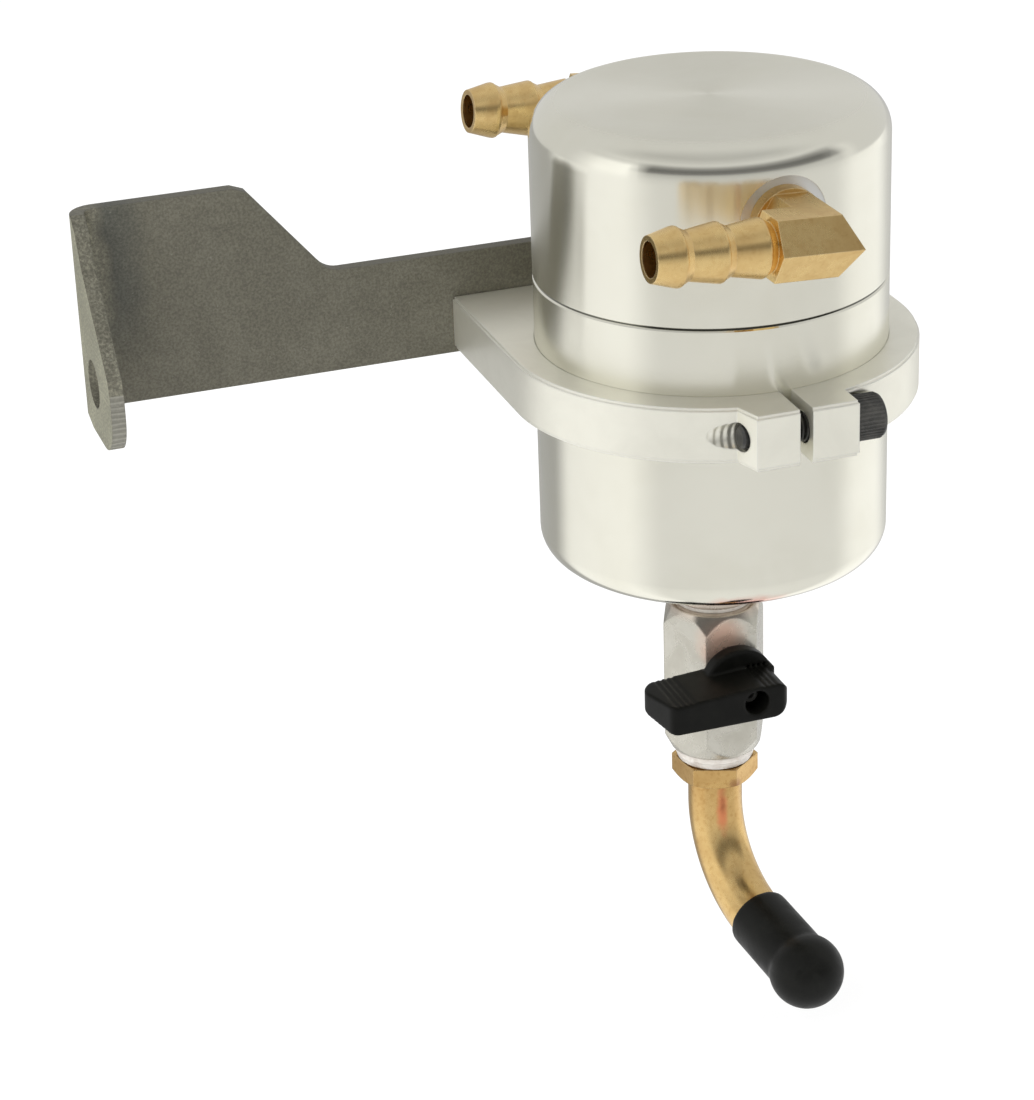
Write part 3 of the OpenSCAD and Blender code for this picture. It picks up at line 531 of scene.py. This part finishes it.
def make_lever_plastic():
    f = Finish("black_plastic", roughness=0.36, specular_ior_level=0.13)
    tone = f.mottle((0.0036, 0.0037, 0.003), (0.006, 0.006, 0.005), size=0.004, low=0.35, high=0.75)
    f.set("Base Color", f.mix(f.times(f.edge_wear_and_sheen(0.0006), 0.4), tone["Color"], (0.022, 0.022, 0.019)))
    f.set("Roughness", f.levels(tone["Mask"], 0.3, 0.44))
    f.set("Normal", f.bump(f.grain(0.0003), 0.00002, 0.5, f.soft_edges(0.0009)))
    return f.material


def make_cap_rubber():
    f = Finish("black_rubber", roughness=0.46, specular_ior_level=0.19)
    tone = f.mottle((0.0045, 0.0047, 0.0038), (0.009, 0.0093, 0.0078), size=0.005, low=0.35, high=0.75)
    f.set("Base Color", tone["Color"])
    f.set("Roughness", f.levels(tone["Mask"], 0.36, 0.54))
    f.set("Normal", f.bump(f.grain(0.0005, detail=4.0), 0.00003, 0.6, f.soft_edges(0.0004)))
    return f.material


finishes = {
    "polished_aluminium": make_can_finish(),
    "satin_aluminium": make_clamp_finish(),
    "mill_steel": make_bracket_finish(),
    "brass": make_brass_finish(),
    "nickel_plate": make_nickel_finish(),
    "black_steel": make_black_steel(),
    "spring_steel": make_spring_steel(),
    "stainless": make_stainless(),
    "steel_wool": make_steel_wool(),
    "chrome": make_chrome(),
    "thread_tape": make_tape_finish(),
    "black_plastic": make_lever_plastic(),
    "black_rubber": make_cap_rubber(),
}

for part in frame["record"]["subparts"]:
    part_object = nodes[part["node"]]
    for spot in part_object.material_slots:
        spot.material = finishes[part["material_slot"]]


# Pieces with more detail than their solids

def round_ring(radius, height, sides=48):
    return [(radius * math.cos(2 * math.pi * i / sides), radius * math.sin(2 * math.pi * i / sides), height)
            for i in range(sides)]


def hex_ring(radius, height, sides=48):
    """A hexagon's outline, by its corner radius, with as many points as a round ring."""
    points = []
    for i in range(sides):
        angle = 2 * math.pi * i / sides
        off = angle % (math.pi / 3) - math.pi / 6
        reach = radius * math.cos(math.pi / 6) / math.cos(off)
        points.append((reach * math.cos(angle), reach * math.sin(angle), height))
    return points


def loft(name, rings):
    """A closed mesh through rings that have the same number of points."""
    shape = bmesh.new()
    loops = [[shape.verts.new(point) for point in ring] for ring in rings]
    for lower, upper in zip(loops, loops[1:]):
        for i in range(len(lower)):
            j = (i + 1) % len(lower)
            shape.faces.new((lower[i], lower[j], upper[j], upper[i]))
    shape.faces.new(reversed(loops[0]))
    shape.faces.new(loops[-1])
    bmesh.ops.recalc_face_normals(shape, faces=shape.faces)
    mesh = bpy.data.meshes.new(name)
    shape.to_mesh(mesh)
    shape.free()
    return mesh


def shape_group(name, inputs):
    """Starts a geometry group with named sizes and returns its tree, input node and output node."""
    group = bpy.data.node_groups.new(name, "GeometryNodeTree")
    kinds = {"value": "NodeSocketFloat", "count": "NodeSocketInt", "material": "NodeSocketMaterial"}
    group.interface.new_socket(name="Geometry", in_out="INPUT", socket_type="NodeSocketGeometry")
    for label, kind in inputs:
        group.interface.new_socket(name=label, in_out="INPUT", socket_type=kinds[kind])
    group.interface.new_socket(name="Geometry", in_out="OUTPUT", socket_type="NodeSocketGeometry")
    tree = Tree(group)
    return tree, tree.add("NodeGroupInput").outputs, tree.add("NodeGroupOutput").inputs


def finish_shape(tree, given, out, parts):
    joined = tree.add("GeometryNodeJoinGeometry")
    for part in parts:
        tree.tree.links.new(part, joined.inputs[0])
    real = tree.add("GeometryNodeRealizeInstances", {0: joined.outputs[0]})
    painted = tree.add("GeometryNodeSetMaterial", {
        "Geometry": real.outputs[0], "Material": given["Material"]})
    tree.feed(out["Geometry"], painted.outputs[0])


def shifted(tree, shape, height):
    return tree.add("GeometryNodeTransform", {
        "Geometry": shape, "Translation": tree.upward(height)}).outputs[0]


def make_screw_group():
    """Adds a ring of grip ribs and a screw thread to a plain screw that points down its Z axis."""
    tree, given, out = shape_group("screw ribs and thread", [
        ("Rib Count", "count"), ("Rib Circle", "value"), ("Rib Radius", "value"), ("Rib Length", "value"),
        ("Rib Start", "value"), ("Thread Radius", "value"), ("Thread Length", "value"), ("Pitch", "value"),
        ("Material", "material")])
    ring = tree.add("GeometryNodeMeshCircle", {"Vertices": given["Rib Count"], "Radius": given["Rib Circle"]})
    rib = tree.add("GeometryNodeMeshCylinder", {
        "Vertices": 6, "Radius": given["Rib Radius"], "Depth": given["Rib Length"]})
    ribs = tree.add("GeometryNodeInstanceOnPoints", {
        "Points": ring.outputs["Mesh"], "Instance": rib.outputs["Mesh"]})
    middle = tree.plus(given["Rib Start"], tree.over(given["Rib Length"], 2.0))
    spiral = tree.add("GeometryNodeCurveSpiral", {
        "Resolution": 24, "Rotations": tree.over(given["Thread Length"], given["Pitch"]),
        "Start Radius": given["Thread Radius"], "End Radius": given["Thread Radius"],
        "Height": given["Thread Length"]})
    crest = tree.add("GeometryNodeCurvePrimitiveCircle", {
        "Resolution": 4, "Radius": tree.times(given["Pitch"], 0.42)})
    thread = tree.add("GeometryNodeCurveToMesh", {
        "Curve": spiral.outputs[0], "Profile Curve": crest.outputs["Curve"], "Fill Caps": True})
    # The thread stops a little short of the head
    down = tree.times(tree.plus(given["Thread Length"], tree.times(given["Pitch"], 0.8)), -1.0)
    finish_shape(tree, given, out, [
        given["Geometry"], shifted(tree, ribs.outputs[0], middle), shifted(tree, thread.outputs[0], down)])
    return tree.tree


def make_winding_group():
    """Winds a flat tape round the Z axis, each turn a little higher and further out."""
    tree, given, out = shape_group("tape winding", [
        ("Turns", "value"), ("Inner Radius", "value"), ("Outer Radius", "value"), ("Climb", "value"),
        ("Width", "value"), ("Thickness", "value"), ("Wrinkle", "value"), ("Seed", "value"),
        ("Material", "material")])
    spiral = tree.add("GeometryNodeCurveSpiral", {
        "Resolution": 64, "Rotations": given["Turns"], "Start Radius": given["Inner Radius"],
        "End Radius": given["Outer Radius"], "Height": given["Climb"]})
    level = tree.add("GeometryNodeSetCurveNormal", {"Curve": spiral.outputs[0]}, mode="Z_UP")
    strip = tree.add("GeometryNodeCurvePrimitiveQuadrilateral", {
        "Width": given["Thickness"], "Height": given["Width"]})
    denser = tree.add("GeometryNodeSubdivideCurve", {"Curve": strip.outputs[0], "Cuts": 3})
    band = tree.add("GeometryNodeCurveToMesh", {
        "Curve": level.outputs[0], "Profile Curve": denser.outputs[0], "Fill Caps": True})
    noise = tree.add("ShaderNodeTexNoise", {
        "Vector": tree.add("GeometryNodeInputPosition").outputs[0], "W": given["Seed"],
        "Scale": 900.0, "Detail": 2.0}, noise_dimensions="4D")
    shift = tree.vector("SUBTRACT", noise.outputs["Color"], (0.5, 0.5, 0.5))
    moved = tree.add("GeometryNodeSetPosition", {
        "Geometry": band.outputs[0],
        "Offset": tree.vector("MULTIPLY", shift, tree.even_vector(given["Wrinkle"]))})
    finish_shape(tree, given, out, [given["Geometry"], moved.outputs[0]])
    return tree.tree


def make_strand_group():
    """Turns the given lines into thin round strands."""
    tree, given, out = shape_group("wool strands", [("Strand Radius", "value"), ("Material", "material")])
    lines = tree.add("GeometryNodeMeshToCurve", {"Mesh": given["Geometry"]})
    section = tree.add("GeometryNodeCurvePrimitiveCircle", {
        "Resolution": 4, "Radius": given["Strand Radius"]})
    strands = tree.add("GeometryNodeCurveToMesh", {
        "Curve": lines.outputs[0], "Profile Curve": section.outputs["Curve"], "Fill Caps": True})
    finish_shape(tree, given, out, [strands.outputs[0]])
    return tree.tree


def new_piece(name, data):
    piece = bpy.data.objects.new(name, data)
    bpy.context.scene.collection.objects.link(piece)
    return piece


def shaped_mesh(source):
    """The mesh that an object's modifiers make, without materials; the object is removed."""
    made = bpy.data.meshes.new_from_object(source.evaluated_get(bpy.context.evaluated_depsgraph_get()))
    bpy.data.objects.remove(source)
    made.materials.clear()
    return made


def shaped_piece(name, start, group, sizes, place=Matrix.Identity(4)):
    """Runs a geometry group on a mesh and keeps the result as a plain piece."""
    source = new_piece(name + " start", start)
    modifier = source.modifiers.new("shape", "NODES")
    modifier.node_group = group
    for item in group.interface.items_tree:
        if item.item_type == "SOCKET" and item.in_out == "INPUT" and item.name in sizes:
            modifier[item.identifier] = sizes[item.name]
    made = shaped_mesh(source)
    made.transform(place)
    made.name = name
    made.materials.append(sizes["Material"])
    made.polygons.foreach_set("material_index", [0] * len(made.polygons))
    return new_piece(name, made)


def adopt(piece, body, slot, *hidden):
    """Hands a piece to its body and hides the solids that it stands for; the slot is not used."""
    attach(piece, body)
    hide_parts(*hidden)


def screw_blank(name, shank_r, shank_l, head_r, head_l, socket_r, root_r, rib_r):
    """A screw without thread or ribs: bevelled point, core, plain neck, head and hexagon socket."""
    return loft(name, [
        round_ring(root_r - 0.0005, -shank_l), round_ring(root_r, -shank_l + 0.0005),
        round_ring(root_r, -0.0011), round_ring(shank_r, -0.0008), round_ring(shank_r, 0),
        round_ring(rib_r - 0.0003, 0), round_ring(rib_r, 0.0003), round_ring(rib_r, head_l - 0.0006),
        round_ring(head_r - 0.0004, head_l - 0.0002), round_ring(head_r - 0.0007, head_l),
        round_ring(socket_r * 1.06, head_l), hex_ring(socket_r, head_l - 0.0003),
        hex_ring(socket_r, head_l * 0.45), round_ring(0.0004, head_l * 0.4)])


def make_screw(name, place, shank_r, shank_l, head_r, head_l, socket_r, pitch, ribs, group):
    rib = math.pi * head_r / ribs * 0.55
    blank = screw_blank(
        name, shank_r, shank_l, head_r, head_l, socket_r, shank_r - pitch * 0.55, head_r - rib * 0.9)
    return shaped_piece(name, blank, group, {
        "Rib Count": ribs, "Rib Circle": head_r - rib, "Rib Radius": rib, "Rib Length": head_l - 0.0012,
        "Rib Start": 0.0004, "Thread Radius": shank_r - pitch * 0.43, "Thread Length": shank_l - pitch * 2.2,
        "Pitch": pitch, "Material": finishes["black_steel"]}, place)


def middle_of(low, high):
    return Vector(((low.x + high.x) / 2, (low.y + high.y) / 2, (low.z + high.z) / 2))


def turned_place(point, degrees, axis):
    return Matrix.Translation(point) @ Matrix.Rotation(math.radians(degrees), 4, axis)


def make_screws():
    group = make_screw_group()

    low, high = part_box("clamp_screw")
    middle = middle_of(low, high)
    head_l = 0.00704
    place = turned_place((high.x - head_l, middle.y, middle.z), 90, "Y")
    piece = make_screw("clamp_screw_ribbed", place, shank_r=0.0032, shank_l=0.0254, head_r=0.00511,
                       head_l=head_l, socket_r=0.00256, pitch=0.00127, ribs=36, group=group)
    adopt(piece, "can", "black_steel", "clamp_screw")

    low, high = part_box("bracket_screws")
    middle = middle_of(low, high)
    head_l, inset = 0.0036, 0.0048
    pair = []
    for x in (low.x + inset, high.x - inset):
        place = turned_place((x, high.y - head_l, middle.z), -90, "X")
        pair.append(make_screw("bracket screw", place, shank_r=0.003, shank_l=0.015, head_r=0.00479,
                               head_l=head_l, socket_r=0.0021, pitch=0.001, ribs=34, group=group))
    adopt(join_pieces("bracket_screws_ribbed", pair), "can", "black_steel", "bracket_screws")

    low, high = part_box("lever_screw")
    middle = middle_of(low, high)
    head_l = 0.0018
    place = turned_place((middle.x, low.y + head_l, middle.z), 90, "X")
    piece = make_screw("lever_screw_ribbed", place, shank_r=0.00125, shank_l=0.006, head_r=0.00245,
                       head_l=head_l, socket_r=0.001, pitch=0.0005, ribs=24, group=group)
    adopt(piece, "lever", "black_steel", "lever_screw")


def join_pieces(name, pieces):
    """One piece from several that share a body and a material."""
    shape = bmesh.new()
    for piece in pieces:
        shape.from_mesh(piece.data)
    mesh = bpy.data.meshes.new(name)
    shape.to_mesh(mesh)
    shape.free()
    mesh.materials.append(pieces[0].data.materials[0])
    for piece in pieces:
        bpy.data.objects.remove(piece)
    return new_piece(name, mesh)


def moulded_piece(name, node, slot, grain, passes):
    """A solid made again from an even, fine mesh, with its edges rounded over."""
    start = nodes[node].data.copy()
    shape = bmesh.new()
    shape.from_mesh(start)
    bmesh.ops.remove_doubles(shape, verts=shape.verts, dist=0.000002)
    bmesh.ops.recalc_face_normals(shape, faces=shape.faces)
    shape.to_mesh(start)
    shape.free()
    source = new_piece(node + " start", start)
    fine = source.modifiers.new("fine mesh", "REMESH")
    fine.mode = "VOXEL"
    fine.voxel_size = grain
    soft = source.modifiers.new("rounded edges", "SMOOTH")
    soft.factor, soft.iterations = 0.5, passes
    made = shaped_mesh(source)
    made.shade_smooth()
    made.materials.append(finishes[slot])
    return new_piece(name, made)


def make_lever():
    """The moulded lever, whose heel is rounder than the solid's when it is seen from the front."""
    piece = moulded_piece("valve_lever_moulded", "valve_lever", "black_plastic", grain=0.0002, passes=18)
    places = [point.co for point in piece.data.vertices]
    heel = [place for place in places if place.x > lever_arm_x and place.y < lever_arm_y]
    for radius, side, level in ((heel_foot_r, -1, lever_foot_z), (heel_crown_r, 1, lever_crown_z)):
        middle_x, middle_z = heel_x - radius, level - side * radius
        for point in heel:
            off_x, off_z = point.x - middle_x, (point.z - middle_z) * side
            reach = math.hypot(off_x, off_z)
            if off_x > 0 and off_z > 0 and reach > radius:
                point.x = middle_x + off_x * radius / reach
                point.z = middle_z + side * off_z * radius / reach
    adopt(piece, "lever", "black_plastic", "valve_lever")


def make_rubber_cap():
    """The rubber cap, whose sleeve flows into its round end."""
    piece = moulded_piece("rubber_cap_moulded", "rubber_cap", "black_rubber", grain=0.0004, passes=16)
    adopt(piece, "drain_cap", "black_rubber", "rubber_cap")


def make_tape():
    """Thread tape wound round a plain core."""
    low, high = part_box("fitting_tape")
    r_out, tall = (high.x - low.x) / 2, high.z - low.z
    r_in = r_out - 0.0009
    core = loft("tape core", [round_ring(r_in + swell, height, sides=64) for swell, height in (
        (0.00012, 0), (0.0002, tall * 0.5), (0.0001, tall))])
    middle = middle_of(low, high)
    place = Matrix.Translation((middle.x, middle.y, low.z)) @ Matrix.Translation((0, 0, tall * 0.27))
    piece = shaped_piece("fitting_tape_wound", core, make_winding_group(), {
        "Turns": 3.4, "Inner Radius": r_in + 0.0002, "Outer Radius": r_out - 0.0001, "Climb": tall * 0.42,
        "Width": tall * 0.5, "Thickness": 0.00014, "Wrinkle": 0.00022, "Seed": 3.0,
        "Material": finishes["thread_tape"]}, place)
    adopt(piece, "can", "thread_tape", "fitting_tape")


def make_wool():
    """Loose strands of steel wool between the two screens, round a denser pad."""
    low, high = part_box("wool_pack")
    centre = Vector(((low.x + high.x) / 2, (low.y + high.y) / 2, 0))
    reach, bottom, top = (high.x - low.x) / 2 - 0.0004, low.z + 0.0005, high.z - 0.0005
    strands, strides, stride, depth = 420, 12, 0.0022, 0.0035
    random.seed(11)
    shape = bmesh.new()
    for _ in range(strands):
        bend = random.uniform(0.006, 0.02)
        heading = random.uniform(0, 2 * math.pi)
        spot = Vector((random.uniform(-reach, reach), random.uniform(-reach, reach),
                       random.choice((bottom, top))))
        spot.z += random.uniform(0, depth) * (1 if spot.z < (bottom + top) / 2 else -1)
        last = None
        for _ in range(strides):
            heading += stride / bend * random.choice((1, 1, 1, -1))
            spot = spot + Vector((math.cos(heading), math.sin(heading), random.uniform(-0.25, 0.25))) * stride
            spot.z = min(max(spot.z, bottom), top)
            flat = Vector((spot.x, spot.y, 0))
            if flat.length > reach:
                flat = flat.normalized() * reach
                spot.x, spot.y = flat.x, flat.y
            point = shape.verts.new(centre + spot)
            if last is not None:
                shape.edges.new((last, point))
            last = point
    lines = bpy.data.meshes.new("wool lines")
    shape.to_mesh(lines)
    shape.free()
    loose = shaped_piece("wool strands", lines, make_strand_group(), {
        "Strand Radius": 0.00022, "Material": finishes["steel_wool"]})
    pad = loft("wool pad", [round_ring(width, height, sides=64) for width, height in (
        (reach - 0.0003, bottom + 0.0012), (reach, bottom + 0.003), (reach, top - 0.003),
        (reach - 0.0003, top - 0.0012))])
    pad.transform(Matrix.Translation(centre))
    pad.materials.append(finishes["steel_wool"])
    adopt(join_pieces("wool_strands", [new_piece("wool pad", pad), loose]), "can", "steel_wool", "wool_pack")


make_screws()
make_lever()
make_rubber_cap()
make_tape()
make_wool()


# Camera, floor and light

def make_camera():
    data = bpy.data.cameras.new("photo camera")
    data.sensor_width = 36
    data.lens = 105.36
    data.clip_start, data.clip_end = 0.02, 20
    camera = new_piece("photo camera", data)
    right = Vector((0.94468895, -0.32624877, -0.03353407))
    down = Vector((-0.16558387, -0.38619396, -0.90743386))
    forward = Vector((0.28309853, 0.86279544, -0.4188547))
    turn = Matrix((right, -down, -forward)).transposed().to_4x4()
    camera.matrix_world = Matrix.Translation((-0.11940971, -0.65984857, 0.26210491)) @ turn
    bpy.context.scene.camera = camera


def studio_levels(tree, across, along):
    """Brightness of the studio round the can, by compass direction."""
    start = 0.5 + 108.2 / 360
    place = tree.math("FRACT", tree.plus(tree.over(tree.math("ARCTAN2", along, across), 2 * math.pi), start))
    return tree.ramp(place, [
        (0.0, 0.48), (0.05, 0.42), (0.16, 0.36), (0.2, 0.9), (0.34, 0.93), (0.4, 0.72), (0.5, 0.74),
        (0.72, 0.7), (0.77, 0.95), (0.85, 1.0), (0.9, 0.6), (1.0, 0.42)])


def mirror_rays(tree, light):
    return tree.math("MAXIMUM", light["Is Glossy Ray"], light["Is Transmission Ray"])


def make_world():
    """A white background, even light, and a studio that only polished faces mirror."""
    world = bpy.data.worlds.new("studio")
    bpy.context.scene.world = world
    world.use_nodes = True
    tree = Tree(world.node_tree)
    world.node_tree.nodes.clear()
    way = tree.parts(tree.add("ShaderNodeTexCoord").outputs["Generated"])
    strips = tree.fade(studio_levels(tree, way["X"], way["Y"]), 0.78, 0.93)
    strips = tree.times(strips, tree.ramp(way["Z"], [(0.0, 1.0), (0.45, 1.0), (0.7, 0.0)]))
    room = tree.ramp(way["Z"], [
        (0.0, 0.62), (0.18, 0.58), (0.28, 0.2), (0.43, 0.14), (0.57, 0.34), (0.67, 0.72), (0.78, 0.6),
        (0.9, 0.5), (1.0, 0.56)])
    fore = tree.mix(strips, room, (1.12, 1.12, 1.12))
    # The half behind the can is plain
    camera_x, camera_y = -0.312, -0.95
    toward = tree.plus(tree.times(way["X"], camera_x), tree.times(way["Y"], camera_y))
    seen = tree.mix(tree.fade(toward, -0.25, 0.3, smooth=True), (0.67, 0.67, 0.67), fore)
    light = tree.add("ShaderNodeLightPath").outputs
    even = tree.add("ShaderNodeBackground", {"Color": (1, 1, 1), "Strength": 0.55})
    mirror = tree.add("ShaderNodeBackground", {"Color": seen, "Strength": 1.0})
    white = tree.add("ShaderNodeBackground", {"Color": (1, 1, 1), "Strength": 1.0})
    first = tree.add("ShaderNodeMixShader", {
        0: mirror_rays(tree, light), 1: even.outputs[0], 2: mirror.outputs[0]})
    last = tree.add("ShaderNodeMixShader", {
        0: light["Is Camera Ray"], 1: first.outputs[0], 2: white.outputs[0]})
    tree.add("ShaderNodeOutputWorld", {"Surface": last.outputs[0]})


def make_floor():
    """A white floor with a soft shadow, low enough for the rubber cap when it is pulled off."""
    mesh = bpy.data.meshes.new("floor")
    half, z = 3.0, cad_low.z - cap_pull_room
    corners = [(-half, -half, z), (half, -half, z), (half, half, z), (-half, half, z)]
    mesh.from_pydata(corners, [], [(0, 1, 2, 3)])
    floor = new_piece("floor", mesh)
    material = bpy.data.materials.new("white floor")
    material.use_nodes = True
    tree = Tree(material.node_tree)
    material.node_tree.nodes.clear()
    place = tree.parts(tree.object_point())
    bands = studio_levels(tree, tree.minus(place["X"], can_x), tree.minus(place["Y"], can_y))
    light = tree.add("ShaderNodeLightPath").outputs
    matt = tree.add("ShaderNodeBsdfDiffuse", {"Color": (0.9, 0.9, 0.9)})
    shade = tree.add("ShaderNodeBsdfDiffuse", {"Color": (0.24, 0.24, 0.24)})
    glow = tree.add("ShaderNodeEmission", {"Color": (1, 1, 1), "Strength": 0.84})
    away = tree.vector("LENGTH", tree.vector("SUBTRACT", tree.object_point(), (can_x, can_y, z)))
    near = tree.fade(away, 0.22, 0.42, 1.15, 1.07)
    mirror = tree.add("ShaderNodeEmission", {"Color": bands, "Strength": near})
    base = tree.add("ShaderNodeAddShader", {0: shade.outputs[0], 1: glow.outputs[0]})
    camera_look = tree.add("ShaderNodeMixShader", {
        0: light["Is Camera Ray"], 1: matt.outputs[0], 2: base.outputs[0]})
    look = tree.add("ShaderNodeMixShader", {
        0: mirror_rays(tree, light), 1: camera_look.outputs[0], 2: mirror.outputs[0]})
    tree.add("ShaderNodeOutputMaterial", {"Surface": look.outputs[0]})
    mesh.materials.append(material)


def make_lamp(name, place, aim, size, power):
    data = bpy.data.lights.new(name, "AREA")
    data.shape = "RECTANGLE"
    data.size, data.size_y = size
    data.energy = power
    lamp = new_piece(name, data)
    lamp.visible_glossy = False
    lamp.location = place
    lamp.rotation_euler = (Vector(aim) - Vector(place)).to_track_quat("-Z", "Y").to_euler()


make_camera()
make_world()
make_floor()
make_lamp("left softbox", (-0.9, -0.7, 0.7), (0.08, 0, 0), (0.7, 0.9), 11)
make_lamp("right softbox", (1.1, -0.7, 0.4), (0.1, 0, 0), (0.4, 0.9), 5)
make_lamp("top softbox", (0.1, 0.3, 1.1), (0.1, 0, 0), (0.9, 0.6), 7)

bpy.context.scene.view_settings.view_transform = "Standard"
